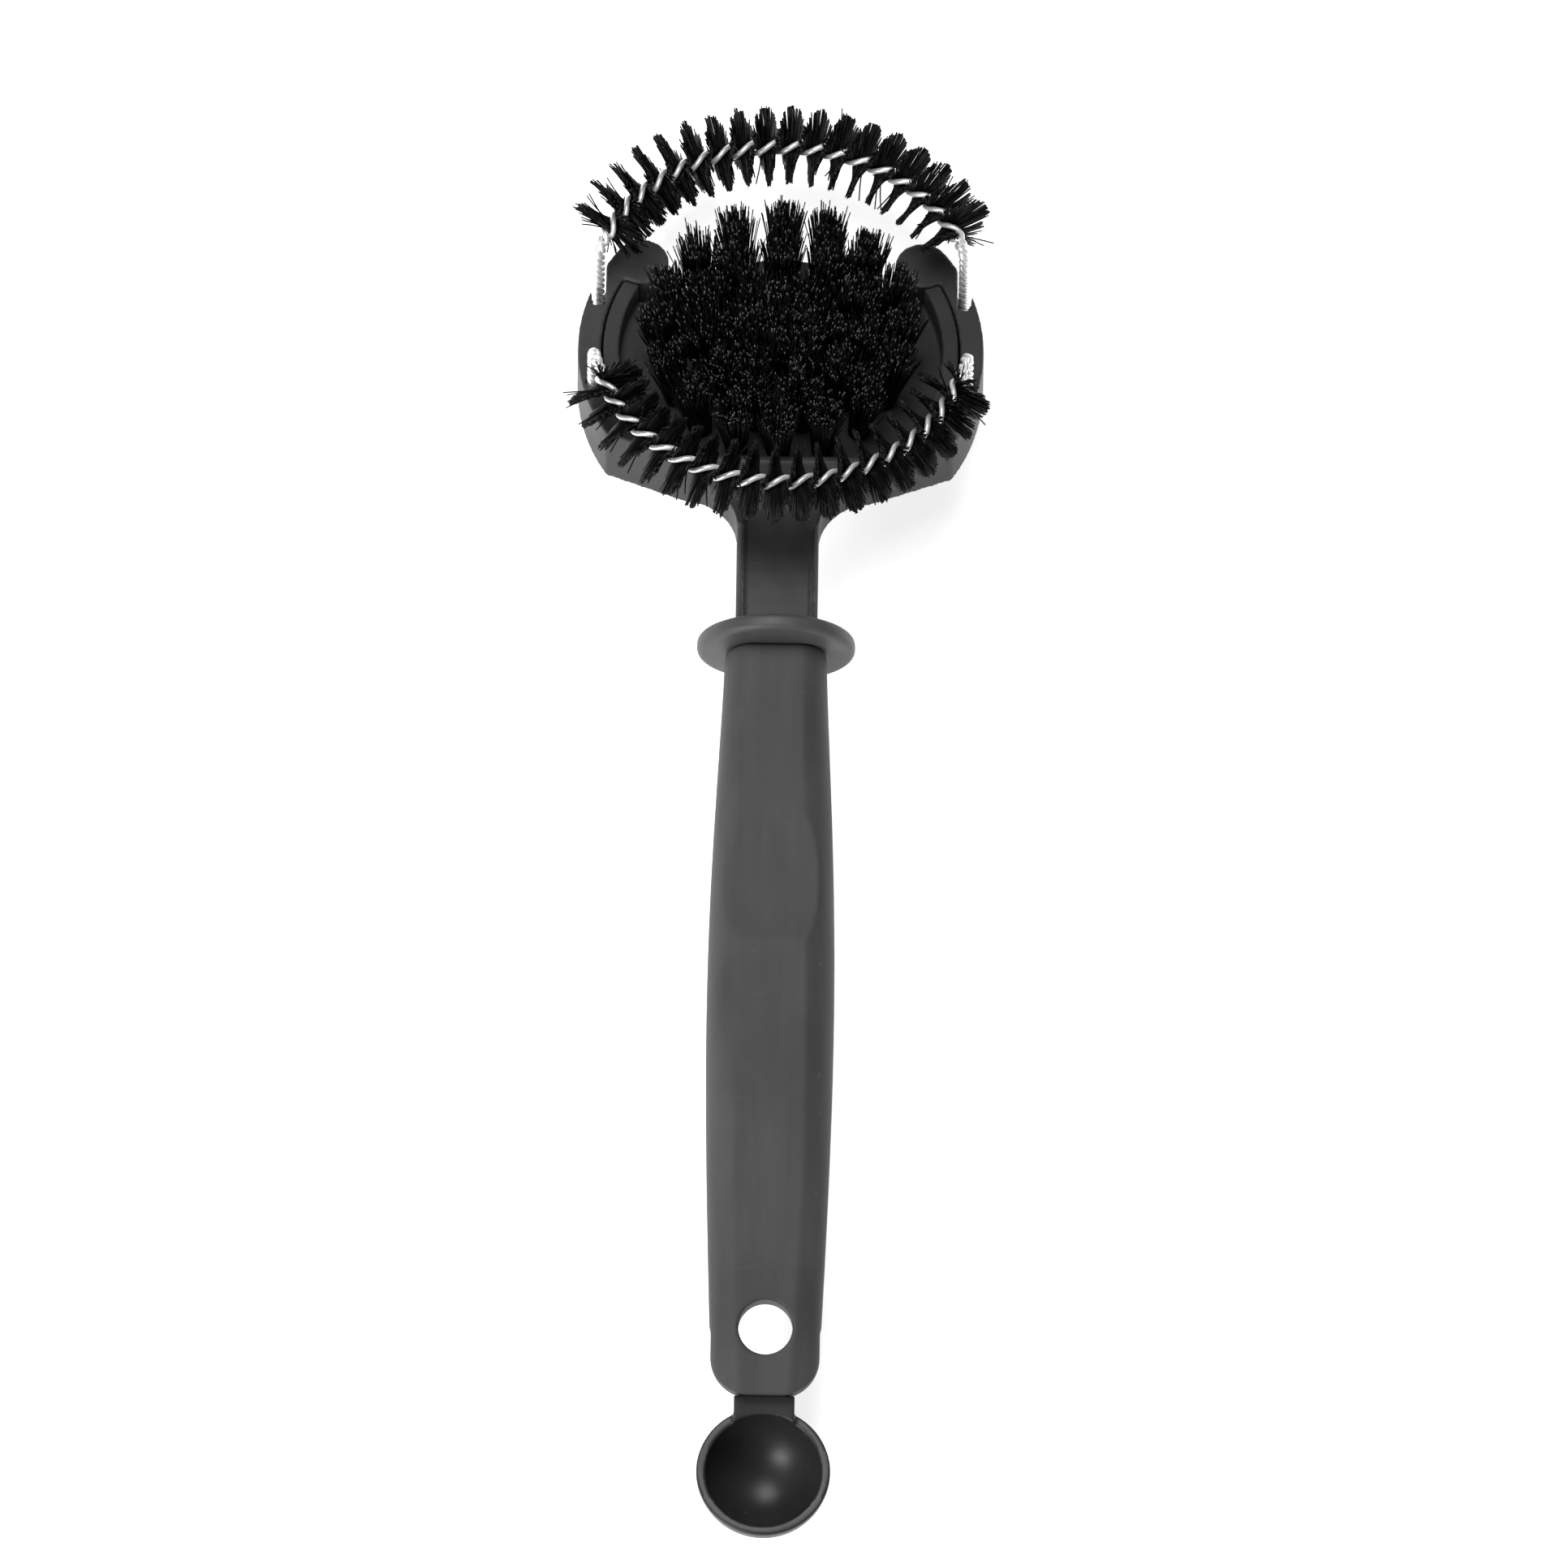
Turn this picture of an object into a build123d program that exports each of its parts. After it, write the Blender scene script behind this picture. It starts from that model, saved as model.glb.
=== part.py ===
from build123d import *
import os
from math import asin, atan2, cos, degrees, hypot, radians, sin

# A group-head cleaning brush: a curved handle with a measuring scoop at one end and, at the other, a
# cradle that holds a round centre brush inside two half rings of twisted-wire brush.
# Millimetres and degrees. The origin is the centre of the hanging hole. The tool lies on a table, bristles
# up: +X is to the right, +Y runs towards the head and +Z is up.
# Side-view places are (u, c): u along the tool from the hole, c from the back of the tool to its front.

# Handle
heading_at_hole = 5.0
heading_at_guard = 20.0
grip_length = 119.5
grip_tail = 11.6
tail_half_width = 9.45
tail_corner = 6.5
hole_radius = 4.7
# Stations up the handle: distance from the hole, half width, half width of the flat front, front, back
grip_stations = [
    (-13.0, 9.2, 4.4, 4.6, 4.6),
    (8.0, 10.0, 5.4, 6.1, 6.0),
    (38.0, 10.9, 6.2, 8.1, 8.0),
    (62.0, 11.0, 6.0, 8.6, 8.6),
    (92.0, 10.05, 5.3, 7.9, 8.0),
    (grip_length, 8.8, 4.8, 6.6, 6.8),
]
grip_front_fall = 0.45
grip_end_round = 0.8
dish_centre = 78.3
dish_length = 24.0
dish_depth = 1.7
dish_front = 8.35

# Splash guard, a flat collar between the handle and the neck
guard_radius = 13.7
guard_thickness = 3.0
guard_round = 1.1

# Neck, whose front is a trough between two rails that dips at the guard, and the tang in the handle
neck_half_width = 7.1
neck_half_depth = 3.4
neck_bevel = 1.2
neck_length = 20.4
neck_overlap = 6.0
rail_width = 1.2
trough_depth = 0.6
trough_length = 4.0
dip_depth = 1.9
dip_length = 2.4
tang_length = 72.0
tang_width = 11.0
tang_depth = 5.0
tang_end_gap = 1.0
fit_gap = 0.05

# Head: x to the right, y away from the handle, z out of the brush face, from the middle of the bristle tips
head_heading = 35.0
neck_end_y = -33.0
neck_end_z = -19.5
cradle_radius = 35.2
cradle_back = -23.0
cradle_floor = -20.5
cradle_top = -10.4
cavity_radius = 31.1
cavity_near_x = 15.4
cavity_near_y = -22.5
cavity_corner_x = 29.4
cavity_corner_y = -17.0
open_radius = 22.8
open_shoulder_y = 14.0
horn_angle = 37.0
horn_radius = 4.7
corner_x = 30.0
corner_y = -18.5
near_x = 15.5
near_y = -24.2
flare_x = 16.5
flare_y = -23.8
flare_top = neck_end_z + neck_half_depth
flare_radius = 10.0

# Centre brush block and its tufts
block_gap = 0.3
block_top = -15.5
rib_inner_radius = 28.0
tuft_hole_radius = 1.65
tuft_root_radius = 1.6
tuft_tip_radius = 2.9
tuft_depth = 3.3
anchor_length = 3.2
anchor_thickness = 0.4
anchor_height = 0.8
# Rings of tufts: name, count, ring radius at the block, ring radius at the tips, first angle
tuft_rings = [
    ("centre", 1, 0.0, 0.0, 0.0),
    ("inner", 6, 6.2, 6.9, 0.0),
    ("middle", 11, 12.8, 14.3, 90.0),
    ("outer", 16, 19.3, 21.6, 90.0),
]

# Twisted-wire brushes. Angles are counted about each half ring's own centre, up from the x axis.
wire_radius = 1.1
wire_bend = 3.0
bend_middle = 45.0
bristle_radius = 6.8
upper_ring_radius = 33.8
upper_ring_y = 1.9
upper_end_angle = 26.0
upper_brush_angle = 30.0
upper_leg_end = -22.2
slot_half_width = 1.2
slot_near_y = 9.0
slot_floor = -18.5
upper_socket_floor = -22.4
boss_radius = 2.1
lower_ring_radius = 32.6
lower_ring_y = -3.1
lower_end_angle = 12.7
lower_brush_angle = 19.0
lower_leg_end = -18.8
lower_socket_floor = -19.0
socket_radius = 1.2

# Scoop
scoop_centre = (-24.4, 5.0)
scoop_tilt = 19.0
scoop_outer_radius = 11.6
scoop_inner_radius = 10.0
scoop_neck_half_width = 5.25
scoop_neck_depth = 3.4
scoop_neck_reach = 6.0
tongue_length = 4.0
tongue_width = 7.5
tongue_depth = 2.6

far = 100.0


def along(start, heading, length, turn=0.0):
    """The end of an arc that leaves start at heading and turns down by turn over length, as (u, c)."""
    half = radians(turn) / 2
    chord = length * sin(half) / half if turn else length
    mean = radians(heading) + half
    return (start[0] + chord * cos(mean), start[1] - chord * sin(mean))


def grip_heading(distance):
    """How far the handle leans down from the u axis, at this distance from the hole."""
    return heading_at_hole + (heading_at_guard - heading_at_hole) * distance / grip_length


def spine(distance):
    """The middle of the handle at this distance from the hole, as (u, c)."""
    turn = grip_heading(distance) - heading_at_hole
    return along((0.0, 0.0), heading_at_hole, distance, turn)


guard_start = spine(grip_length)
guard_end = along(guard_start, heading_at_guard, guard_thickness)
neck_turn = head_heading - heading_at_guard
neck_end = along(guard_end, heading_at_guard, neck_length, neck_turn)
head_foot = along(neck_end, head_heading, -neck_end_y)
head_origin = along(head_foot, head_heading - 90, -neck_end_z)


def head_point(y, z):
    """A place on the head's middle plane, as (u, c)."""
    return along(along(head_origin, head_heading, y), head_heading - 90, z)


# The tool rests on the scoop's round bottom and on the back edges of the cradle's horns, at this angle.
horn_ring = cradle_radius - horn_radius
rest_corner = head_point(horn_ring * sin(radians(horn_angle)) + horn_radius, cradle_back)
rest_run = rest_corner[0] - scoop_centre[0]
rest_drop = scoop_centre[1] - rest_corner[1]
rest_angle = degrees(atan2(rest_drop, rest_run) - asin(scoop_outer_radius / hypot(rest_run, rest_drop)))

tool_y = Vector(0, cos(radians(rest_angle)), sin(radians(rest_angle)))
tool_z = Vector(0, -sin(radians(rest_angle)), cos(radians(rest_angle)))


def place(point):
    """A side-view place (u, c) in the tool's resting frame."""
    return tool_y * point[0] + tool_z * point[1]


def lengthwise(point, heading):
    """A plane with x to the right, y along the tool at this heading and z out of its front."""
    normal = tool_y * sin(radians(heading)) + tool_z * cos(radians(heading))
    return Plane(origin=place(point), x_dir=(1, 0, 0), z_dir=normal)


def crosswise(point, heading):
    """A plane across the tool, with x to the right, y out of its front and z back towards the scoop."""
    normal = tool_z * sin(radians(heading)) - tool_y * cos(radians(heading))
    return Plane(origin=place(point), x_dir=(1, 0, 0), z_dir=normal)


def grip_plane(distance):
    return crosswise(spine(distance), grip_heading(distance))


tail_plane = crosswise(along((0, 0), heading_at_hole, -grip_tail), heading_at_hole)
head = lengthwise(head_origin, head_heading)


def side_points(points):
    """Side-view places (u, c) as points in space."""
    return [place(point) for point in points]


def tang_line(length):
    """Three points down the middle of the handle, from its end to this far in."""
    return side_points([spine(grip_length), spine(grip_length - length / 2), spine(grip_length - length)])


def polar(radius, angle, height=0.0):
    """A point on the head's plane, given by its radius and its angle up from the x axis."""
    return (radius * cos(radians(angle)), radius * sin(radians(angle)), height)


def inside_outline(height, gap):
    """The cradle's inside, this gap smaller at its walls, as a face at this height on the head."""
    with BuildSketch(head.offset(height)) as outline:
        Polygon(
            (-far, far),
            (-cavity_corner_x, cavity_corner_y + gap),
            (-cavity_near_x, cavity_near_y + gap),
            (cavity_near_x, cavity_near_y + gap),
            (cavity_corner_x, cavity_corner_y + gap),
            (far, far),
            align=None,
        )
        Circle(cavity_radius - gap, mode=Mode.INTERSECT)
    return outline.sketch


def plate_outline(height, gap):
    """The same without the open side, which ends in two shoulders and a round nose."""
    with BuildSketch(head.offset(height)) as outline:
        Circle(open_radius)
        with Locations((0, open_shoulder_y)):
            Rectangle(far, far, align=(Align.CENTER, Align.MAX))
    return outline.sketch & inside_outline(height, gap)


os.makedirs("parts", exist_ok=True)

# Handle: a lofted body, trimmed round at its tail, with a thumb dish, the hanging hole and two pockets
with BuildPart() as grip:
    for distance, half_width, flat, front, back in grip_stations:
        with BuildSketch(grip_plane(distance)) as station:
            with BuildLine() as station_line:
                Line((-flat, front), (flat, front))
                Spline((flat, front), (half_width, 0), tangents=((1, -grip_front_fall), (0, -1)))
                EllipticalCenterArc((0, 0), half_width, back, start_angle=180, arc_size=180)
                Spline((-half_width, 0), (-flat, front), tangents=((0, 1), (1, grip_front_fall)))
            make_face()
    loft()
    with BuildSketch(lengthwise(spine(0), heading_at_hole)) as tail_outline:
        with Locations((0, -grip_tail)):
            Rectangle(2 * tail_half_width, far, align=(Align.CENTER, Align.MIN))
        fillet(tail_outline.vertices().group_by(Axis.Y)[0], tail_corner)
        Rectangle(far, 2 * far, align=(Align.CENTER, Align.MIN))
    extrude(amount=far, both=True, mode=Mode.INTERSECT)
    ends = grip.faces().filter_by(GeomType.PLANE).sort_by(Axis.Y)
    fillet(ends[-1].edges(), grip_end_round)
    dish_radius = (dish_length**2 / 4 + dish_depth**2) / (2 * dish_depth)
    dish_up = grip_plane(dish_centre).y_dir
    with BuildSketch(Plane(origin=place(spine(dish_centre)), x_dir=dish_up, z_dir=(1, 0, 0))):
        with Locations((dish_front - dish_depth + dish_radius, 0)):
            Circle(dish_radius)
    extrude(amount=far, both=True, mode=Mode.SUBTRACT)
    with BuildSketch(lengthwise(spine(0), heading_at_hole)) as hole_outline:
        Circle(hole_radius)
    extrude(amount=far, both=True, mode=Mode.SUBTRACT)
    with BuildSketch(grip_plane(grip_length)) as pocket_outline:
        Rectangle(tang_width + 2 * fit_gap, tang_depth + 2 * fit_gap)
    with BuildLine() as pocket_path:
        ThreePointArc(tang_line(tang_length + tang_end_gap))
    sweep(sections=pocket_outline.sketch, path=pocket_path.line, mode=Mode.SUBTRACT)
    with BuildSketch(tail_plane) as tongue_pocket:
        Rectangle(tongue_width + 2 * fit_gap, tongue_depth + 2 * fit_gap)
    extrude(amount=-tongue_length - fit_gap, mode=Mode.SUBTRACT)
grip.part.label = "grip"
export_step(grip.part, "parts/grip.step")

# Scoop: a round bowl on a short neck, whose tongue sits in the handle's tail
with BuildPart(lengthwise(scoop_centre, scoop_tilt)) as scoop:
    Sphere(scoop_outer_radius, arc_size1=-90, arc_size2=0, align=None)
    with BuildSketch(tail_plane) as scoop_neck:
        Rectangle(2 * scoop_neck_half_width, scoop_neck_depth)
    extrude(amount=scoop_neck_reach)
    with BuildSketch(tail_plane) as tongue:
        Rectangle(tongue_width, tongue_depth)
    extrude(amount=-tongue_length)
    Sphere(scoop_inner_radius, align=None, mode=Mode.SUBTRACT)
scoop.part.label = "scoop"
export_step(scoop.part, "parts/scoop.step")

# Splash guard: a round-edged collar that fits the neck
with BuildPart() as splash_guard:
    with BuildSketch(crosswise(guard_start, heading_at_guard)) as guard_outline:
        Circle(guard_radius)
    extrude(amount=-guard_thickness)
    fillet(splash_guard.edges().filter_by(GeomType.CIRCLE), guard_round)
    with BuildSketch(crosswise(guard_start, heading_at_guard)) as guard_opening:
        Rectangle(2 * (neck_half_width + fit_gap), 2 * (neck_half_depth + fit_gap))
        chamfer(guard_opening.vertices(), neck_bevel)
    extrude(amount=-guard_thickness, mode=Mode.SUBTRACT)
splash_guard.part.label = "splash_guard"
export_step(splash_guard.part, "parts/splash_guard.step")


def leg_place(radius, centre_y, end_angle, lift):
    """Where a half ring's right leg stands on the head, past the bend at the end of its arc, as (x, y)."""
    ring_end = polar(radius, lift * end_angle)
    turn = radians(end_angle)
    return (ring_end[0] + wire_bend * sin(turn), centre_y + ring_end[1] - lift * wire_bend * cos(turn))


# Places on the head where the wire brushes' legs stand
upper_leg_x, upper_leg_y = leg_place(upper_ring_radius, upper_ring_y, upper_end_angle, 1)
lower_leg_x, lower_leg_y = leg_place(lower_ring_radius, lower_ring_y, lower_end_angle, -1)

# Head frame: tang, neck and the open cradle for the brush block, in one moulding
horn_places = [polar(horn_ring, angle)[:2] for angle in (horn_angle, 180 - horn_angle)]
with BuildPart() as head_frame:
    with BuildSketch(head.offset(cradle_back)) as cradle_outline:
        with BuildLine() as cradle_line:
            rim = ThreePointArc(
                polar(cradle_radius, horn_angle)[:2],
                (cradle_radius, 0),
                (corner_x, -((cradle_radius**2 - corner_x**2) ** 0.5)),
            )
            Polyline((0, 0), rim @ 0)
            Polyline(rim @ 1, (near_x, near_y), (0, near_y))
            mirror(about=Plane.YZ)
        make_face()
    extrude(amount=cradle_top - cradle_back)
    extrude(inside_outline(cradle_back, 0), amount=far, mode=Mode.SUBTRACT)
    extrude(plate_outline(cradle_back, 0), amount=cradle_floor - cradle_back)
    with BuildSketch(head.offset(cradle_back)) as horns:
        with Locations(horn_places):
            Circle(horn_radius)
    extrude(amount=cradle_top - cradle_back)
    with BuildSketch(head.offset(slot_floor)) as slots:
        with Locations((upper_leg_x, slot_near_y), (-upper_leg_x, slot_near_y)):
            Rectangle(2 * slot_half_width, far, align=(Align.CENTER, Align.MIN))
    extrude(amount=far, mode=Mode.SUBTRACT)
    with BuildSketch(head.offset(cradle_back)) as bosses:
        with Locations((upper_leg_x, upper_leg_y), (-upper_leg_x, upper_leg_y)):
            Circle(boss_radius)
    extrude(amount=slot_floor - cradle_back)
    with BuildSketch(head.offset(upper_socket_floor)) as upper_sockets:
        with Locations((upper_leg_x, upper_leg_y), (-upper_leg_x, upper_leg_y)):
            Circle(socket_radius)
    extrude(amount=far, mode=Mode.SUBTRACT)
    with BuildSketch(head.offset(lower_socket_floor)) as lower_sockets:
        with Locations((lower_leg_x, lower_leg_y), (-lower_leg_x, lower_leg_y)):
            Circle(socket_radius)
    extrude(amount=far, mode=Mode.SUBTRACT)
    with BuildSketch(head.offset(cradle_back)) as flare_outline:
        with BuildLine() as flare_line:
            side = RadiusArc((flare_x, flare_y), (neck_half_width, neck_end_y), -flare_radius)
            Polyline((0, flare_y), side @ 0)
            Polyline(side @ 1, (0, neck_end_y))
            mirror(about=Plane.YZ)
        make_face()
    extrude(amount=flare_top - cradle_back)
    with BuildLine() as neck_path:
        neck_bow = along(guard_end, heading_at_guard, neck_length / 2, neck_turn / 2)
        Line(side_points([guard_start, guard_end]))
        ThreePointArc(side_points([guard_end, neck_bow, neck_end]))
        Line(side_points([neck_end, along(neck_end, head_heading, neck_overlap)]))
    with BuildSketch(crosswise(guard_start, heading_at_guard)) as neck_section:
        Rectangle(2 * neck_half_width, 2 * neck_half_depth)
        chamfer(neck_section.vertices(), neck_bevel)
    sweep(sections=neck_section.sketch, path=neck_path.wire())
    with BuildLine() as trough_path:
        ThreePointArc(side_points([guard_end, neck_bow, neck_end]))
        Line(side_points([neck_end, along(neck_end, head_heading, trough_length)]))
    with BuildSketch(crosswise(guard_end, heading_at_guard)) as trough_section:
        with Locations((0, neck_half_depth)):
            Rectangle(2 * (neck_half_width - rail_width), 2 * trough_depth)
    sweep(sections=trough_section.sketch, path=trough_path.wire(), mode=Mode.SUBTRACT)
    with BuildSketch(crosswise(guard_end, heading_at_guard)) as dip_section:
        with Locations((0, neck_half_depth)):
            Rectangle(2 * (neck_half_width - rail_width), 2 * dip_depth)
    extrude(dip_section.sketch, amount=-dip_length, mode=Mode.SUBTRACT)
    with BuildLine() as tang_path:
        ThreePointArc(tang_line(tang_length))
    with BuildSketch(grip_plane(grip_length)) as tang_section:
        Rectangle(tang_width, tang_depth)
    sweep(sections=tang_section.sketch, path=tang_path.line)
head_frame.part.label = "head_frame"
export_step(head_frame.part, "parts/head_frame.step")


def tuft_axis(ring_radius, tip_ring_radius, angle):
    """A tuft's plane at its root on the block, with z along the tuft's lean."""
    root = head.from_local_coords(polar(ring_radius, angle, block_top))
    tip = head.from_local_coords(polar(tip_ring_radius, angle))
    across = head.from_local_coords(polar(1, angle + 90)) - head.origin
    return Plane(origin=root, x_dir=across, z_dir=tip - root)


def ring_axes(count, ring_radius, tip_ring_radius, first_angle):
    """The planes of one ring's tufts."""
    return [
        tuft_axis(ring_radius, tip_ring_radius, first_angle + 360 * i / count) for i in range(count)
    ]


# Anchors: the flat wire staples that hold the tufts, one group for each ring
anchors = {}
for ring, count, ring_radius, tip_ring_radius, first_angle in tuft_rings:
    with BuildPart() as anchor_group:
        for axis in ring_axes(count, ring_radius, tip_ring_radius, first_angle):
            with BuildSketch(axis.offset(-tuft_depth)) as anchor_outline:
                Rectangle(anchor_length, anchor_thickness)
            extrude(amount=-anchor_height)
    anchors[ring] = anchor_group.part
    anchor_group.part.label = "anchors_" + ring
    export_step(anchor_group.part, "parts/anchors_" + ring + ".step")

# Brush block: a round plate with two ribs that clip inside the cradle's cheeks
with BuildPart() as brush_block:
    extrude(plate_outline(cradle_floor, block_gap), amount=cradle_top - cradle_floor)
    with BuildSketch(head.offset(cradle_floor)) as horn_room:
        with Locations(horn_places):
            Circle(horn_radius + block_gap)
    extrude(amount=far, mode=Mode.SUBTRACT)
    with BuildSketch(head.offset(block_top)) as block_well:
        Circle(rib_inner_radius)
        with Locations((0, corner_y)):
            Rectangle(far, far, align=(Align.CENTER, Align.MAX))
    extrude(amount=far, mode=Mode.SUBTRACT)
    for ring, count, ring_radius, tip_ring_radius, first_angle in tuft_rings:
        for axis in ring_axes(count, ring_radius, tip_ring_radius, first_angle):
            with BuildSketch(axis.offset(-tuft_depth)) as tuft_hole:
                Circle(tuft_hole_radius)
            extrude(amount=far, mode=Mode.SUBTRACT)
        add(anchors[ring], mode=Mode.SUBTRACT)
brush_block.part.label = "brush_block"
export_step(brush_block.part, "parts/brush_block.step")

# Tufts: straight in their holes, then fanned out to their tips
tuft_length = -block_top
for ring, count, ring_radius, tip_ring_radius, first_angle in tuft_rings:
    for i, axis in enumerate(ring_axes(count, ring_radius, tip_ring_radius, first_angle)):
        with BuildPart() as tuft:
            with BuildSketch(axis.offset(-tuft_depth)) as root_outline:
                Circle(tuft_root_radius)
            extrude(amount=tuft_depth)
            with BuildSketch(axis) as fan_foot:
                Circle(tuft_root_radius)
            with BuildSketch(axis.offset(tuft_length)) as fan_tip:
                Circle(tuft_tip_radius)
            loft(sections=[fan_foot.sketch, fan_tip.sketch])
        name = "tuft_" + ring if count == 1 else f"tuft_{ring}_{i + 1:02d}"
        tuft.part.label = name
        export_step(tuft.part, f"parts/{name}.step")


def half_ring(radius, centre_y, end_angle, lift, leg_end):
    """A half ring's wire path in the head's frame: a leg, a bend, the arc, a bend and a leg."""
    leg_x, leg_y = leg_place(radius, centre_y, end_angle, lift)
    end_x, end_y, end_z = polar(radius, lift * end_angle)
    ring_end = (end_x, centre_y + end_y, end_z)
    ring_start = (-end_x, centre_y + end_y, end_z)
    bow = sin(radians(bend_middle))
    middle_x = end_x + (leg_x - end_x) * bow
    middle_y = ring_end[1] + (leg_y - ring_end[1]) * bow
    middle_z = -wire_bend * (1 - cos(radians(bend_middle)))
    with BuildLine(head) as path:
        Line((-leg_x, leg_y, leg_end), (-leg_x, leg_y, -wire_bend))
        ThreePointArc((-leg_x, leg_y, -wire_bend), (-middle_x, middle_y, middle_z), ring_start)
        ThreePointArc(ring_start, (0, centre_y + lift * radius, 0), ring_end)
        ThreePointArc(ring_end, (middle_x, middle_y, middle_z), (leg_x, leg_y, -wire_bend))
        Line((leg_x, leg_y, -wire_bend), (leg_x, leg_y, leg_end))
    return path.wire()


def brush_arc(radius, centre_y, start_angle, lift):
    """The bristled stretch of a half ring's arc."""
    start = polar(radius, lift * start_angle)
    with BuildLine(head) as path:
        ThreePointArc(
            (-start[0], centre_y + start[1]),
            (0, centre_y + lift * radius),
            (start[0], centre_y + start[1]),
        )
    return path.wire()


# Half rings: name, side of the head, ring radius, ring centre, end angle, brush angle, depth of the legs
half_rings = [
    ("upper", 1, upper_ring_radius, upper_ring_y, upper_end_angle, upper_brush_angle, upper_leg_end),
    ("lower", -1, lower_ring_radius, lower_ring_y, lower_end_angle, lower_brush_angle, lower_leg_end),
]

# Wire brushes: each a bent wire and the round envelope of the bristles twisted into it
for name, lift, radius, centre_y, end_angle, brush_angle, leg_end in half_rings:
    wire_path = half_ring(radius, centre_y, end_angle, lift, leg_end)
    with BuildPart() as wire:
        with BuildSketch(Plane(origin=wire_path @ 0, z_dir=wire_path % 0)) as wire_section:
            Circle(wire_radius)
        sweep(sections=wire_section.sketch, path=wire_path)
    wire.part.label = name + "_wire"
    export_step(wire.part, f"parts/{name}_wire.step")
    bristle_path = brush_arc(radius, centre_y, brush_angle, lift)
    with BuildPart() as bristles:
        with BuildSketch(Plane(origin=bristle_path @ 0, z_dir=bristle_path % 0)) as bristle_section:
            Circle(bristle_radius)
            Circle(wire_radius, mode=Mode.SUBTRACT)
        sweep(sections=bristle_section.sketch, path=bristle_path)
    bristles.part.label = name + "_bristles"
    export_step(bristles.part, f"parts/{name}_bristles.step")
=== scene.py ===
# The looks of the group-head cleaning brush, built around its CAD frame: moulded plastic with rounded
# edges, tufts and rings of separate nylon filaments, and half rings of real twisted wire.
# Metres and radians.
import random
from math import atan2, ceil, cos, exp, pi, radians, sin, sqrt, tanh

import bpy
import numpy as np
from mathutils import Matrix, Vector


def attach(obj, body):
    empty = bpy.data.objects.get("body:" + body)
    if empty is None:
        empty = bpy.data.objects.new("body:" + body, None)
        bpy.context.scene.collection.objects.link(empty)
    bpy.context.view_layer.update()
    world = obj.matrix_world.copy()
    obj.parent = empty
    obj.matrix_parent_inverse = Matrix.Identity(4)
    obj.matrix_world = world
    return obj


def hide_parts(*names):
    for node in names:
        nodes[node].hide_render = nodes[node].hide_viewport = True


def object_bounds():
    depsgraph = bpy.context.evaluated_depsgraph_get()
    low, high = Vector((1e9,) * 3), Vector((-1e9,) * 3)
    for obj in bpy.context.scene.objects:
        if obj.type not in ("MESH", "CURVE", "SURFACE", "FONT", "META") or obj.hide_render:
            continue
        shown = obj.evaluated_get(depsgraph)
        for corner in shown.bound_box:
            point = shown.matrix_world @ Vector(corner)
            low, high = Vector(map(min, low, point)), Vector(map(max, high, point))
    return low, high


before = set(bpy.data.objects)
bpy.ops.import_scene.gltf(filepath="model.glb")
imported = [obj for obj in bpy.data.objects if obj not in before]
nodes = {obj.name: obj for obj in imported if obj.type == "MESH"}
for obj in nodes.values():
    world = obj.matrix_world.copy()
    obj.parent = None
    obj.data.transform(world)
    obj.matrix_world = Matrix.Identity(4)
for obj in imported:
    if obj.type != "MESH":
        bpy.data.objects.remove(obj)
cad_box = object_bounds()

# The tool and its head, as the CAD places them
rest_angle = radians(17.3176)
head_lean = radians(35.0) - rest_angle
head_centre = Vector((0.0, 0.17912, 0.0148264))
head_y = Vector((0.0, cos(head_lean), -sin(head_lean)))
head_z = Vector((0.0, sin(head_lean), cos(head_lean)))
tool_y = Vector((0.0, cos(rest_angle), sin(rest_angle)))
tool_z = Vector((0.0, -sin(rest_angle), cos(rest_angle)))
right = Vector((1.0, 0.0, 0.0))

# Tufts: name, count, ring radius at the block, ring radius and tuft radius at the tips, first angle
tuft_rings = [
    ("centre", 1, 0.0, 0.0, 0.0039, 0.0),
    ("inner", 6, 0.0062, 0.0072, 0.0039, 0.0),
    ("middle", 11, 0.0128, 0.0150, 0.0041, pi / 2),
    ("outer", 16, 0.0193, 0.0216, 0.0034, pi / 2),
]
block_top = -0.0155
tuft_root_radius = 0.00145
tuft_buried = 0.0025
tuft_filaments = 260
tuft_clump = 5
tuft_filament_radius = 0.000115
tuft_samples = 5

# How unlike each other a tuft's clumps and filaments are
clump_lean_spread = 0.00035
clump_height_mean, clump_height_spread = -0.0003, 0.00055
place_in_clump = 0.3
tuft_tip_spread = 0.00022
tuft_height_spread = 0.00025
tuft_stray_share, tuft_stray_spread = 0.09, 3.4
tuft_bow = 0.45

# Twisted-wire half rings: the two strands run further apart where bristles lie between them
wire_bend = 0.003
strand_radius = 0.0005
strand_sides = 9
strand_step = 0.0002
bare_offset = 0.00052
gripping_offset = 0.00092
offset_ramp = 0.0025
brush_pitch = 0.0084
bare_pitch = 0.0034

# Their bristles
ring_filaments_per_metre = 25000
ring_clump = 6
ring_filament_radius = 0.00014
ring_samples = 4
outer_reach = 0.00705
inner_share = 0.93
gripped_layer = 0.00045
ring_bow = 0.3

# How far a lobe seems turned towards the front: tips part outside the ring and gather inside it, more and
# more to the right, and the other way round on the left
lobe_turn = radians(11.0)
lobe_turn_start = 0.33
lobe_turn_run = 0.25

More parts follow.
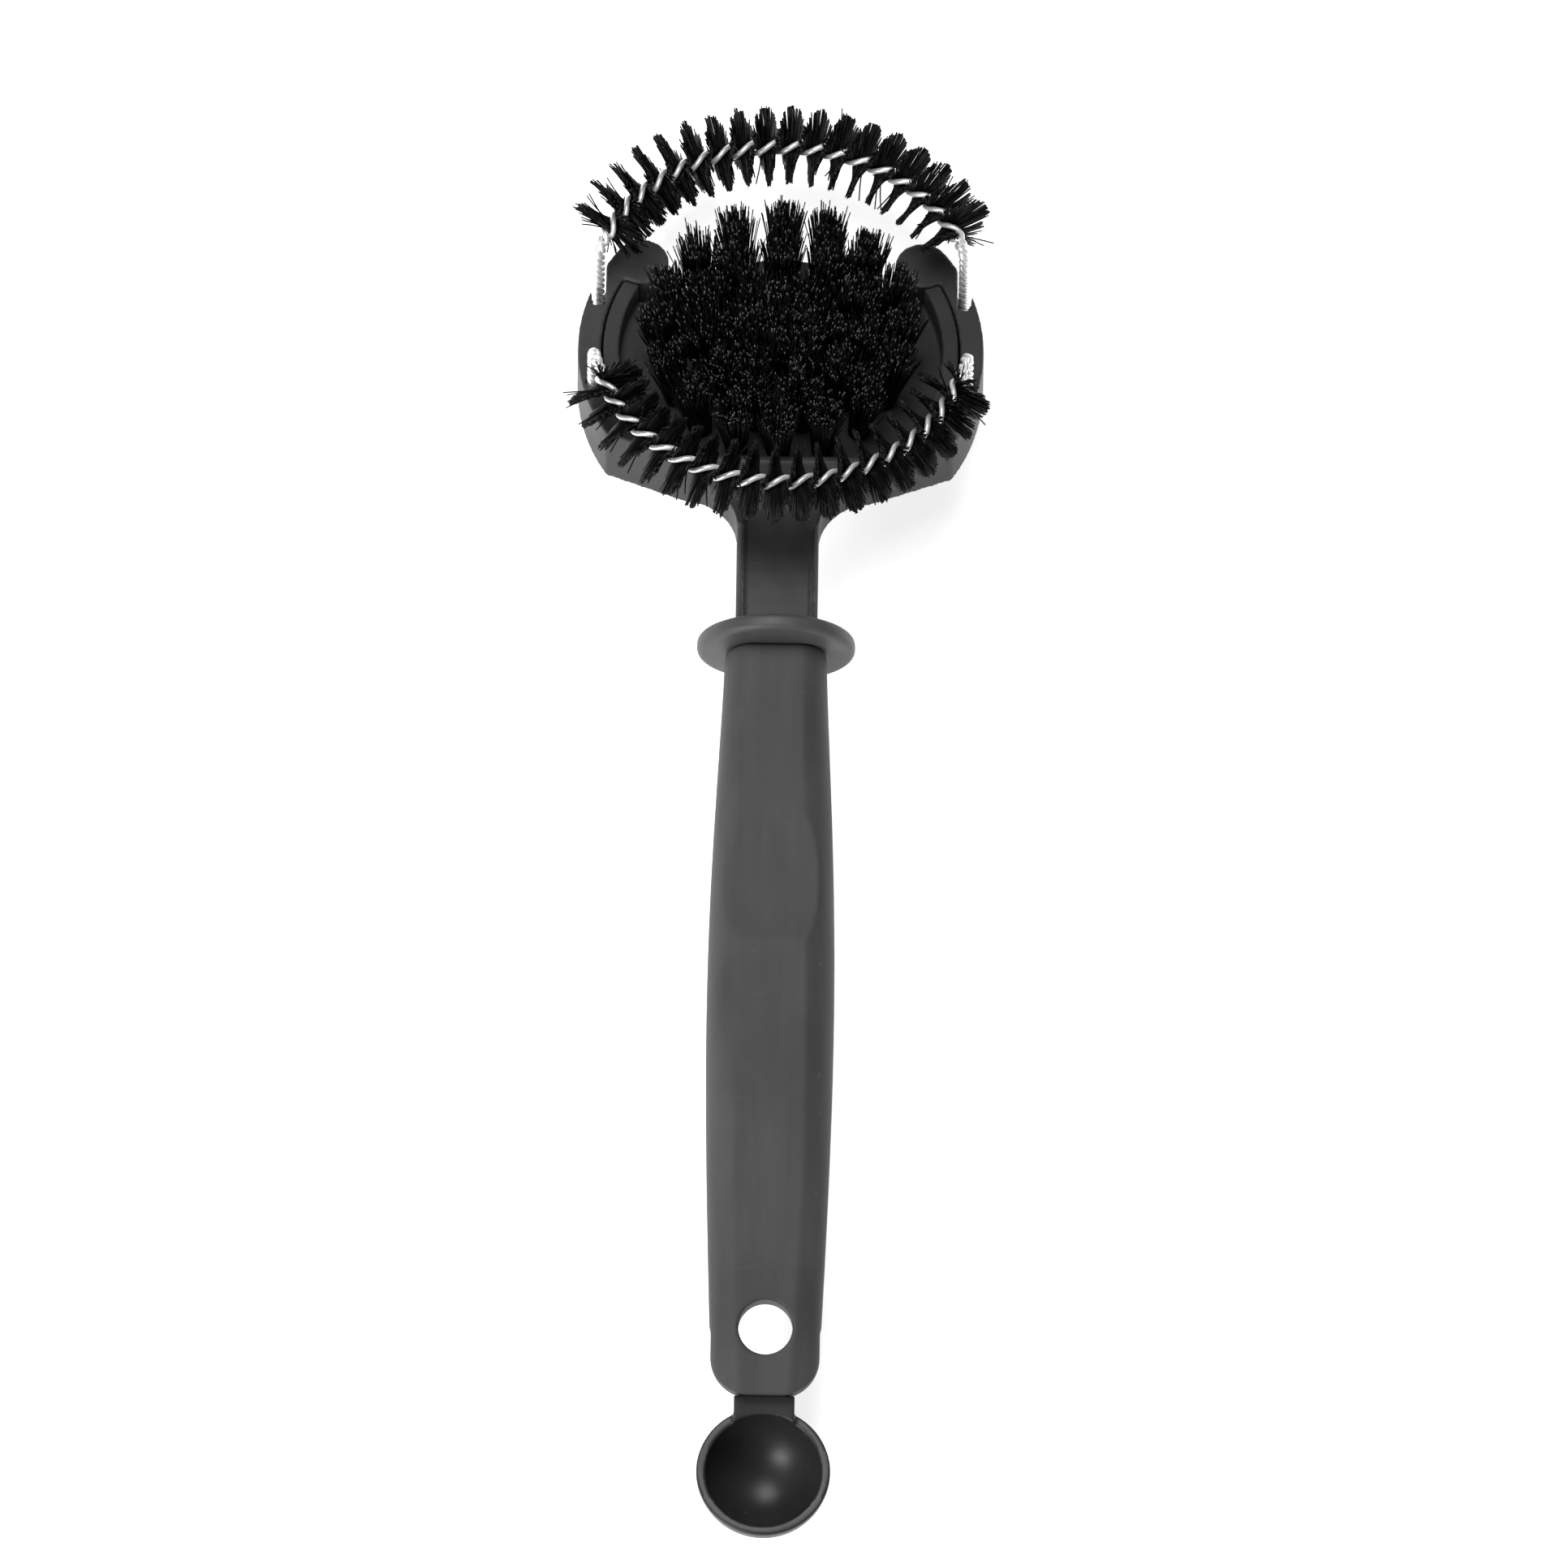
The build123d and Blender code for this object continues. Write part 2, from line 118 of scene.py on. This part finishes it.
# How unlike each other the ring's clumps and filaments are, and how ragged it gets towards its ends
clump_spreads = {"turn": 0.05, "slant": 0.00012, "reach": 0.00016}
own_turn_spread = 0.04
own_slant_spread = 0.0001
own_reach_mean, own_reach_spread = -0.0001, 0.0001
ragged_run = 0.015
end_splay, end_splay_run = 0.0022, 0.0022
stray_share, end_stray_share, end_stray_run = 0.01, 0.12, 0.002
stray_slant_spread, stray_extra_reach = 0.0016, 0.0004
end_stray_reach, end_stray_reach_run = 0.0016, 0.004

# Filaments are five-sided and a little thinner at their tips
filament_sides = 5
filament_taper = 0.85
off_axis = (0.37, 0.81, 0.45)

# Floor, lights and camera
table_gap = 0.0001
floor_half = 4.0
floor_glow = 0.75
room_glow = 0.16
camera_distance, framed_width = 10.0, 0.2705
camera_lean = radians(0.9)
frame_up, frame_right = 0.0941, 0.00174

# Most of a noise lies in this span
noise_span = (0.3, 0.7)


def polar(radius, angle, height=0.0):
    """A place on the head, by its radius and its angle up from the x axis."""
    return head_point(radius * cos(angle), radius * sin(angle), height)


def head_point(x, y, z):
    """A place in the head's frame, in the row frame."""
    return head_centre + right * x + head_y * y + head_z * z


# ---------------------------------------------------------------------------------------------------------
# Materials


def new_material(name):
    """An empty node material: its tree, its shader and a node that gives places on the piece in metres."""
    material = bpy.data.materials.new(name)
    material.use_nodes = True
    tree = material.node_tree
    tree.nodes.clear()
    shader = tree.nodes.new("ShaderNodeBsdfPrincipled")
    output = tree.nodes.new("ShaderNodeOutputMaterial")
    tree.links.new(shader.outputs["BSDF"], output.inputs["Surface"])
    places = tree.nodes.new("ShaderNodeTexCoord")
    return material, tree, shader, places.outputs["Object"]


def noise(tree, place, scale, detail=2.0, stretch=None):
    """A noise between 0 and 1, of this many waves a metre, drawn out along an axis if stretch says so."""
    if stretch:
        mapping = tree.nodes.new("ShaderNodeMapping")
        mapping.inputs["Scale"].default_value = stretch
        tree.links.new(place, mapping.inputs["Vector"])
        place = mapping.outputs["Vector"]
    texture = tree.nodes.new("ShaderNodeTexNoise")
    texture.inputs["Scale"].default_value = scale
    texture.inputs["Detail"].default_value = detail
    tree.links.new(place, texture.inputs["Vector"])
    return texture.outputs["Fac"]


def spread(tree, value, span, result):
    """Value over span (low, high), smoothly mapped to result (at low, at high)."""
    mapping = tree.nodes.new("ShaderNodeMapRange")
    mapping.interpolation_type = "SMOOTHSTEP"
    for socket, number in zip(("From Min", "From Max", "To Min", "To Max"), (*span, *result)):
        mapping.inputs[socket].default_value = number
    tree.links.new(value, mapping.inputs["Value"])
    return mapping.outputs["Result"]


def blend_colours(tree, share, first, second):
    """The colour between first and second, by share. Each is a colour or a socket."""
    mix = tree.nodes.new("ShaderNodeMix")
    mix.data_type = "RGBA"
    tree.links.new(share, mix.inputs["Factor"])
    for name, colour in (("A", first), ("B", second)):
        socket = next(s for s in mix.inputs if s.name == name and s.type == "RGBA")
        if isinstance(colour, tuple):
            socket.default_value = (*colour, 1.0)
        else:
            tree.links.new(colour, socket)
    return next(s for s in mix.outputs if s.type == "RGBA")


def maths(tree, operation, first, second):
    """One arithmetic step on two values, each a number or a socket."""
    node = tree.nodes.new("ShaderNodeMath")
    node.operation = operation
    for socket, value in zip(node.inputs, (first, second)):
        if isinstance(value, float):
            socket.default_value = value
        else:
            tree.links.new(value, socket)
    return node.outputs["Value"]


def add_bump(tree, shader, heights):
    """Stacks bumps on the shader's normal. Each is (height socket, strength, depth in metres)."""
    normal = None
    for height, strength, depth in heights:
        bump = tree.nodes.new("ShaderNodeBump")
        bump.inputs["Strength"].default_value = strength
        bump.inputs["Distance"].default_value = depth
        tree.links.new(height, bump.inputs["Height"])
        if normal:
            tree.links.new(normal, bump.inputs["Normal"])
        normal = bump.outputs["Normal"]
    tree.links.new(normal, shader.inputs["Normal"])


def moulded(name, dark, light, worn, roughness, grain, specular):
    """Moulded plastic or rubber: fine grain, cloudy colour, flow lines, scuffs and lighter worn edges."""
    material, tree, shader, place = new_material(name)
    cloud = noise(tree, place, scale=55.0, detail=4.0)
    flow = noise(tree, place, scale=420.0, detail=3.0, stretch=(1.0, 0.12, 0.12))
    fine = noise(tree, place, scale=2600.0)
    scuffs = noise(tree, place, scale=900.0, detail=4.0, stretch=(0.25, 1.0, 1.0))

    cloud_tone = spread(tree, cloud, noise_span, (0.3, 1.0))
    flow_tone = spread(tree, flow, noise_span, (0.6, 1.0))
    base = blend_colours(tree, maths(tree, "MULTIPLY", cloud_tone, flow_tone), dark, light)
    pointed = tree.nodes.new("ShaderNodeNewGeometry").outputs["Pointiness"]
    edge = spread(tree, pointed, (0.56, 0.66), (0.0, 0.6))
    edge = maths(tree, "MULTIPLY", edge, spread(tree, scuffs, (0.35, 0.65), (0.35, 1.0)))
    base = blend_colours(tree, edge, base, worn)
    marks = spread(tree, scuffs, (0.62, 0.74), (0.0, 0.12))
    base = blend_colours(tree, marks, base, worn)
    tree.links.new(base, shader.inputs["Base Color"])

    polish = maths(tree, "MULTIPLY", marks, -0.1)
    rough = maths(tree, "ADD", spread(tree, cloud, noise_span, roughness), polish)
    tree.links.new(rough, shader.inputs["Roughness"])
    shader.inputs["Specular IOR Level"].default_value = specular
    add_bump(tree, shader, [(cloud, 0.25, 0.0003), (flow, 0.12, 0.00008), (fine, grain, 0.00002)])
    return material


def nylon(name, dark, light, tip, tip_start, least_tone, specular):
    """Drawn nylon: each filament has its own tone, its flank is streaked and its tip is paler, partly as
    wear and partly as a painted highlight where the cut end catches the light.
    """
    material, tree, shader, place = new_material(name)
    own = tree.nodes.new("ShaderNodeAttribute")
    own.attribute_name = "tone"
    reach = tree.nodes.new("ShaderNodeAttribute")
    reach.attribute_name = "reach"
    streak = noise(tree, place, scale=1500.0)
    tone = maths(tree, "MULTIPLY", own.outputs["Fac"], spread(tree, streak, noise_span, (0.5, 1.0)))
    base = blend_colours(tree, tone, dark, light)
    # Paler tips on the lighter filaments: partly wear, partly a painted highlight of cut ends catching the
    # light
    tip_wear_and_glint = spread(tree, reach.outputs["Fac"], (tip_start, 1.0), (0.0, 1.0))
    chosen = spread(tree, own.outputs["Fac"], (least_tone, 1.0), (0.0, 1.0))
    base = blend_colours(tree, maths(tree, "MULTIPLY", tip_wear_and_glint, chosen), base, tip)
    tree.links.new(base, shader.inputs["Base Color"])
    tree.links.new(spread(tree, streak, noise_span, (0.34, 0.5)), shader.inputs["Roughness"])
    shader.inputs["Specular IOR Level"].default_value = specular
    add_bump(tree, shader, [(streak, 0.2, 0.00003)])
    return material


def metal(name, bright, dull, roughness, metallic):
    """Drawn wire: bright, with darker die lines and cloudy tarnish."""
    material, tree, shader, place = new_material(name)
    cloud = noise(tree, place, scale=700.0, detail=3.0)
    lines = noise(tree, place, scale=5200.0)
    tarnish = spread(tree, cloud, (0.4, 0.75), (0.0, 1.0))
    share = maths(tree, "MULTIPLY", tarnish, spread(tree, lines, noise_span, (0.4, 1.0)))
    tree.links.new(blend_colours(tree, share, bright, dull), shader.inputs["Base Color"])
    tree.links.new(spread(tree, cloud, noise_span, roughness), shader.inputs["Roughness"])
    shader.inputs["Metallic"].default_value = metallic
    add_bump(tree, shader, [(lines, 0.15, 0.00002)])
    return material


grip_plastic = moulded(
    "grip_plastic",
    dark=(0.052, 0.052, 0.0535),
    light=(0.076, 0.076, 0.078),
    worn=(0.11, 0.11, 0.112),
    roughness=(0.5, 0.62),
    grain=0.22,
    specular=0.12,
)
head_nylon = moulded(
    "head_nylon",
    dark=(0.034, 0.034, 0.035),
    light=(0.052, 0.052, 0.0535),
    worn=(0.1, 0.1, 0.102),
    roughness=(0.46, 0.58),
    grain=0.18,
    specular=0.3,
)
scoop_plastic = moulded(
    "scoop_plastic",
    dark=(0.02, 0.02, 0.0206),
    light=(0.032, 0.032, 0.033),
    worn=(0.07, 0.07, 0.071),
    roughness=(0.36, 0.46),
    grain=0.12,
    specular=0.4,
)
guard_rubber = moulded(
    "guard_rubber",
    dark=(0.05, 0.05, 0.0515),
    light=(0.072, 0.072, 0.074),
    worn=(0.12, 0.12, 0.122),
    roughness=(0.4, 0.52),
    grain=0.2,
    specular=0.35,
)
block_plastic = moulded(
    "block_plastic",
    dark=(0.026, 0.026, 0.0268),
    light=(0.042, 0.042, 0.043),
    worn=(0.08, 0.08, 0.081),
    roughness=(0.45, 0.58),
    grain=0.15,
    specular=0.3,
)
tuft_nylon = nylon(
    "tuft_nylon",
    dark=(0.0012, 0.0012, 0.0013),
    light=(0.004, 0.004, 0.0042),
    # The tip colour is partly wear and partly a painted highlight of cut ends catching the light
    tip=(0.15, 0.15, 0.153),
    tip_start=0.96,
    least_tone=0.62,
    specular=0.1,
)
ring_nylon = nylon(
    "ring_nylon",
    dark=(0.0015, 0.0015, 0.0016),
    light=(0.006, 0.006, 0.0062),
    # The tip colour is partly wear and partly a painted highlight of cut ends catching the light
    tip=(0.03, 0.03, 0.031),
    tip_start=0.9,
    least_tone=0.6,
    specular=0.12,
)
# The steel's white base at half metallic is a painted reflection: it stands in for the bright room that the
# polished strands mirror
reflection_painted_steel = metal(
    "stainless_wire", bright=(1.0, 1.0, 0.99), dull=(0.9, 0.9, 0.89), roughness=(0.22, 0.38), metallic=0.5
)
brass = metal(
    "brass_wire", bright=(0.72, 0.5, 0.22), dull=(0.45, 0.3, 0.13), roughness=(0.22, 0.4), metallic=1.0
)


# ---------------------------------------------------------------------------------------------------------
# Moulded pieces keep their CAD meshes, with edges rounded as a mould leaves them


def give_material(piece, material):
    """The piece's one material."""
    piece.data.materials.clear()
    piece.data.materials.append(material)


def round_edges(node, material, voxel, passes):
    """Rounds a CAD node's edges by an even remesh and smoothing passes, and gives it its material."""
    weld = node.modifiers.new("weld", "WELD")
    weld.merge_threshold = 0.000002
    remesh = node.modifiers.new("even", "REMESH")
    remesh.mode = "VOXEL"
    remesh.voxel_size = voxel
    remesh.use_smooth_shade = True
    smooth = node.modifiers.new("rounded", "SMOOTH")
    smooth.factor = 0.5
    smooth.iterations = passes
    give_material(node, material)


round_edges(nodes["grip"], grip_plastic, voxel=0.00042, passes=4)
round_edges(nodes["head_frame"], head_nylon, voxel=0.00036, passes=3)
round_edges(nodes["scoop"], scoop_plastic, voxel=0.00026, passes=4)
round_edges(nodes["splash_guard"], guard_rubber, voxel=0.00024, passes=4)
round_edges(nodes["brush_block"], block_plastic, voxel=0.0003, passes=2)
for ring_name, *_ in tuft_rings:
    anchors = nodes["anchors_" + ring_name]
    give_material(anchors, brass)


# ---------------------------------------------------------------------------------------------------------
# Filaments and strands are closed tubes round sampled lines


def tube_piece(name, lines, ups, radii, sides, material):
    """Closed tubes as one piece. lines is (tubes, samples, 3) and ups holds a side direction for each."""
    count, samples, _ = lines.shape
    along = np.gradient(lines, axis=1)
    along /= np.linalg.norm(along, axis=2, keepdims=True)
    across = ups - along * np.sum(ups * along, axis=2, keepdims=True)
    across /= np.linalg.norm(across, axis=2, keepdims=True)
    other = np.cross(along, across)
    angles = np.arange(sides) * 2 * pi / sides
    ring = across[:, :, None] * np.cos(angles)[:, None] + other[:, :, None] * np.sin(angles)[:, None]
    places = lines[:, :, None] + ring * radii[:, :, None, None]
    index = np.arange(count * samples * sides).reshape(count, samples, sides)
    beside = np.roll(index, -1, axis=2)
    walls = np.stack([index[:, :-1], beside[:, :-1], beside[:, 1:], index[:, 1:]], axis=3).reshape(-1, 4)
    caps = np.concatenate([index[:, 0, ::-1], index[:, -1]])
    mesh = bpy.data.meshes.new(name)
    mesh.from_pydata(places.reshape(-1, 3).tolist(), [], walls.tolist() + caps.tolist())
    mesh.polygons.foreach_set("use_smooth", [True] * len(walls) + [False] * len(caps))
    mesh.update()
    piece = bpy.data.objects.new(name, mesh)
    bpy.context.scene.collection.objects.link(piece)
    give_material(piece, material)
    return piece


def filament_piece(name, lines, radius, rng, material):
    """Filaments as one piece, with each point's reach from root to tip and each filament's own tone."""
    points = np.array([[tuple(p) for p in line] for line in lines])
    count, samples, _ = points.shape
    ups = np.broadcast_to(np.array(off_axis), points.shape)
    radii = radius * np.broadcast_to(np.linspace(1.0, filament_taper, samples), (count, samples))
    piece = tube_piece(name, points, ups, radii, filament_sides, material)
    tones = np.array([rng.random() for _ in range(count)])
    shape = (count, samples, filament_sides)
    reach = np.broadcast_to(np.linspace(0, 1, samples)[None, :, None], shape)
    tone = np.broadcast_to(tones[:, None, None], shape)
    for attribute, values in (("reach", reach), ("tone", tone)):
        layer = piece.data.attributes.new(attribute, "FLOAT", "POINT")
        layer.data.foreach_set("value", values.astype(np.float32).ravel())
    return piece


def bowed(root, tip, bow, samples):
    """A line from root to tip that is bent aside against bow, most of all halfway."""
    steps = [i / (samples - 1) for i in range(samples)]
    return [root.lerp(tip, t) + bow * (t * t - t) for t in steps]


def disc(rng, radius):
    """A random place in a disc, as (x, y)."""
    r, angle = radius * sqrt(rng.random()), 2 * pi * rng.random()
    return Vector((r * cos(angle), r * sin(angle)))


def jitter(rng, amount):
    """A random step, as (x, y)."""
    return Vector((rng.gauss(0, amount), rng.gauss(0, amount)))


# Tufts: filaments in clumps that leave the block together and fan out to ragged tips
def tuft_lines(rng, root, tip, tip_radius, across):
    """The filaments of one tuft."""
    axis = (tip - root).normalized()
    side = axis.cross(across)
    length = (tip - root).length
    lines = []
    for i in range(tuft_filaments):
        if i % tuft_clump == 0:
            clump = disc(rng, 1.0)
            lean = jitter(rng, clump_lean_spread)
            clump_height = length + rng.gauss(clump_height_mean, clump_height_spread)
        own = clump + disc(rng, place_in_clump)
        foot = own * tuft_root_radius
        stray = tuft_stray_spread if rng.random() < tuft_stray_share else 1.0
        head = own * tip_radius + lean + jitter(rng, tuft_tip_spread) * stray
        height = clump_height + rng.gauss(0, tuft_height_spread)
        start = root + across * foot.x + side * foot.y - axis * tuft_buried
        end = root + across * head.x + side * head.y + axis * height
        swing = across * (head.x - foot.x) + side * (head.y - foot.y)
        lines.append(bowed(start, end, swing * tuft_bow, tuft_samples))
    return lines


for ring_name, count, ring_radius, tip_ring_radius, tip_radius, first_angle in tuft_rings:
    for i in range(count):
        rng = random.Random(f"{ring_name} {i}")
        angle = first_angle + 2 * pi * i / count
        root = polar(ring_radius, angle, block_top)
        tip = polar(tip_ring_radius, angle)
        across = (polar(1.0, angle + pi / 2) - head_centre).normalized()
        suffix = ring_name if count == 1 else f"{ring_name}_{i + 1:02d}"
        lines = tuft_lines(rng, root, tip, tip_radius, across)
        bundle = filament_piece("bundle_" + suffix, lines, tuft_filament_radius, rng, tuft_nylon)
        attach(bundle, "root")
        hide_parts("tuft_" + suffix)


# ---------------------------------------------------------------------------------------------------------
# Half rings of twisted wire


class HalfRing:
    """A half ring's wire route, from its left foot round the arc to its right foot.

    The arc ends at end_angle above the x axis, the bristles at brush_angle, and the feet at the height
    leg_end. lift is 1 for the ring at the head's far side and -1 for the one at its near side. ragged_start
    and ragged_end say how much more ragged the bristles are at the left and at the right end.
    """

    def __init__(
        self, name, radius, centre_y, end_angle, brush_angle, leg_end, lift, ragged_start, ragged_end
    ):
        self.name, self.radius, self.centre_y, self.lift = name, radius, centre_y, lift
        self.ragged_start, self.ragged_end = ragged_start, ragged_end
        self.end_angle = end_angle
        self.leg_height = -wire_bend - leg_end
        self.arc_length = radius * (pi - 2 * end_angle)
        self.brush_start = radius * (brush_angle - end_angle)

    def arc(self, distance):
        """Place, direction and outward direction on the arc, at this distance from its left end."""
        angle = pi - self.end_angle - distance / self.radius
        outward = right * cos(angle) + head_y * (self.lift * sin(angle))
        direction = right * sin(angle) - head_y * (self.lift * cos(angle))
        return head_point(0, self.centre_y, 0) + outward * self.radius, direction, outward

    def route(self, step):
        """Samples of (distance on the arc, place, direction, outward), the legs and bends included."""
        found = []
        turn_length = wire_bend * pi / 2
        for at_right in (False, True):
            end, direction, outward = self.arc(self.arc_length if at_right else 0.0)
            away = direction if at_right else -direction
            part = []
            for i in range(ceil(turn_length / step)):
                turn = (i + 1) * pi / 2 / ceil(turn_length / step)
                place = end + away * (wire_bend * sin(turn)) - head_z * (wire_bend * (1 - cos(turn)))
                part.append((turn * wire_bend, place, away * cos(turn) - head_z * sin(turn), outward))
            top = part[-1][1]
            for i in range(ceil(self.leg_height / step)):
                down = (i + 1) * self.leg_height / ceil(self.leg_height / step)
                part.append((turn_length + down, top - head_z * down, -head_z, outward))
            if at_right:
                found += [(self.arc_length + d, p, t, n) for d, p, t, n in part]
            else:
                found = [(-d, p, -t, n) for d, p, t, n in reversed(part)]
                count = ceil(self.arc_length / step)
                distances = [self.arc_length * i / count for i in range(count + 1)]
                found += [(d, *self.arc(d)) for d in distances]
        return found

    def twist(self, distance):
        """The angle of the twist at this distance: slow among the bristles, tight on the bare ends."""
        inside = min(max(distance, self.brush_start), self.arc_length - self.brush_start)
        return -2 * pi * (inside / brush_pitch + (distance - inside) / bare_pitch)

    def strand_offset(self, distance):
        """How far a strand runs from the wire's middle at this distance."""
        inside = min(distance - self.brush_start, self.arc_length - self.brush_start - distance)
        share = min(max(inside / offset_ramp + 1.0, 0.0), 1.0)
        return bare_offset + (gripping_offset - bare_offset) * share


def strands(ring):
    """The two twisted strands of a half ring, as one piece."""
    samples = ring.route(strand_step)
    lines, ups = [], []
    for half_turn in (0.0, pi):
        line, up = [], []
        for distance, place, direction, outward in samples:
            turn = ring.twist(distance) + half_turn
            aside = outward * cos(turn) + direction.cross(outward) * sin(turn)
            line.append(place + aside * ring.strand_offset(distance))
            up.append(aside)
        lines.append([tuple(p) for p in line])
        ups.append([tuple(p) for p in up])
    lines = np.array(lines)
    radii = np.full(lines.shape[:2], strand_radius)
    return tube_piece(ring.name + "_twisted_wire", lines, np.array(ups), radii, strand_sides, reflection_painted_steel)


def ring_bristles(ring, rng):
    """The filaments gripped between the strands: full petals outside the arc, narrow fingers inside."""
    first = ring.brush_start
    length = ring.arc_length - 2 * first
    count = int(length * ring_filaments_per_metre)
    lines = []
    for i in range(count):
        along = length * (i + rng.random()) / count
        to_end = length - along
        nearest = min(along, to_end)
        distance = first + along
        if i % ring_clump == 0:
            ragged = 1.0 + ring.ragged_start * exp(-along / ragged_run)
            ragged += ring.ragged_end * exp(-to_end / ragged_run)
            clump = [[rng.gauss(0, amount) for amount in clump_spreads.values()] for _ in range(2)]
        place, direction, outward = ring.arc(distance)
        # The lobe's middle lies square to the wire and flat in the front view; its side faces the front
        middle = tool_z.cross(direction).normalized()
        middle = middle if middle.dot(outward) > 0 else -middle
        aside = direction.cross(middle)
        run = (direction - tool_z * direction.dot(tool_z)).normalized()
        lobe_start = atan2(middle.dot(direction.cross(outward)), middle.dot(outward))
        seeming = lobe_turn * tanh((along / length - lobe_turn_start) / lobe_turn_run)
        lean = -(sin(seeming) + aside.dot(run)) / direction.dot(run)
        for side, (shared_turn, shared_slant, shared_reach) in enumerate(clump):
            turn = ring.twist(distance) + pi / 2 + pi * side - lobe_start
            turn += (shared_turn + rng.gauss(0, own_turn_spread)) * ragged
            reach = outer_reach + shared_reach * ragged + rng.gauss(own_reach_mean, own_reach_spread)
            reach *= 1.0 if cos(turn) > 0 else inner_share
            slant = (shared_slant + rng.gauss(0, own_slant_spread)) * ragged + reach * sin(turn) * lean
            slant -= end_splay * exp(-along / end_splay_run) * rng.random()
            slant += end_splay * exp(-to_end / end_splay_run) * rng.random()
            if rng.random() < stray_share + end_stray_share * exp(-nearest / end_stray_run):
                slant += rng.gauss(0, stray_slant_spread)
                long_stray = end_stray_reach * rng.random() * exp(-nearest / end_stray_reach_run)
                reach += stray_extra_reach + long_stray
            layer = (aside * cos(turn) - middle * sin(turn)) * (gripped_layer * (2 * rng.random() - 1))
            tip = place + (middle * cos(turn) + aside * sin(turn)) * reach + layer + direction * slant
            lines.append(bowed(place + layer, tip, direction * (ring_bow * slant), ring_samples))
    return lines


upper_ring = HalfRing(
    "upper",
    radius=0.0338,
    centre_y=0.0019,
    end_angle=radians(26.0),
    brush_angle=radians(26.6),
    leg_end=-0.0222,
    lift=1,
    ragged_start=2.4,
    ragged_end=0.8,
)
lower_ring = HalfRing(
    "lower",
    radius=0.0326,
    centre_y=-0.0031,
    end_angle=radians(12.7),
    brush_angle=radians(19.0),
    leg_end=-0.0188,
    lift=-1,
    ragged_start=1.6,
    ragged_end=1.6,
)
for ring in (upper_ring, lower_ring):
    rng = random.Random(ring.name)
    body = ring.name + "_brush"
    wire = strands(ring)
    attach(wire, body)
    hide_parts(ring.name + "_wire")
    lines = ring_bristles(ring, rng)
    bristles = filament_piece(ring.name + "_filaments", lines, ring_filament_radius, rng, ring_nylon)
    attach(bristles, body)
    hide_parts(ring.name + "_bristles")


# ---------------------------------------------------------------------------------------------------------
# Floor, lights and camera


def build_floor():
    """A wide white table under the tool."""
    material, tree, shader, place = new_material("pale_floor")
    mottle = noise(tree, place, scale=6.0, detail=3.0)
    tone = blend_colours(tree, mottle, (0.9, 0.9, 0.9), (0.93, 0.93, 0.93))
    tree.links.new(tone, shader.inputs["Base Color"])
    shader.inputs["Roughness"].default_value = 0.9
    shader.inputs["Specular IOR Level"].default_value = 0.1
    shader.inputs["Emission Color"].default_value = (1.0, 1.0, 1.0, 1.0)
    shader.inputs["Emission Strength"].default_value = floor_glow
    mesh = bpy.data.meshes.new("floor")
    corners = [(floor_half * x, floor_half * y, 0) for x, y in ((-1, -1), (1, -1), (1, 1), (-1, 1))]
    mesh.from_pydata(corners, [], [(0, 1, 2, 3)])
    floor = bpy.data.objects.new("floor", mesh)
    floor.location.z = cad_box[0].z - table_gap
    bpy.context.scene.collection.objects.link(floor)
    give_material(floor, material)


def add_softbox(name, aim, toward, distance, width, power):
    """A square soft light at this distance from aim, in the direction toward."""
    lamp = bpy.data.lights.new(name, "AREA")
    lamp.shape = "SQUARE"
    lamp.size = width
    lamp.energy = power
    light = bpy.data.objects.new(name, lamp)
    light.location = aim + toward.normalized() * distance
    light.rotation_mode = "QUATERNION"
    light.rotation_quaternion = toward.to_track_quat("Z", "Y")
    bpy.context.scene.collection.objects.link(light)


def light_studio():
    """A dim white room, a soft light from the left of the handle's end and a smaller one over the head."""
    world = bpy.data.worlds.new("studio")
    world.use_nodes = True
    background = world.node_tree.nodes["Background"]
    background.inputs["Color"].default_value = (1.0, 1.0, 1.0, 1.0)
    background.inputs["Strength"].default_value = room_glow
    bpy.context.scene.world = world
    from_left = tool_z * 0.65 - tool_y * 0.5 - right * 0.52
    add_softbox("key", aim=tool_y * 0.11, toward=from_left, distance=1.25, width=0.5, power=11.2)
    over_head = tool_z + tool_y * 0.6 - right * 0.15
    add_softbox("fill", aim=tool_y * 0.17, toward=over_head, distance=0.6, width=0.35, power=3.1)


def place_camera():
    """A camera square to the tool and leaning a little, far off with a long lens."""
    camera = bpy.data.cameras.new("camera")
    camera.lens = camera.sensor_width * camera_distance / framed_width
    camera.clip_start, camera.clip_end = 0.1, 40.0
    view = bpy.data.objects.new("camera", camera)
    up = tool_y * cos(camera_lean) - right * sin(camera_lean)
    turned = Matrix((up.cross(tool_z), up, tool_z)).transposed()
    view.rotation_mode = "QUATERNION"
    view.rotation_quaternion = turned.to_quaternion()
    view.location = tool_y * frame_up + right * frame_right + tool_z * camera_distance
    bpy.context.scene.collection.objects.link(view)
    bpy.context.scene.camera = view


build_floor()
light_studio()
place_camera()
bpy.context.scene.view_settings.view_transform = "Standard"

bpy.context.view_layer.update()
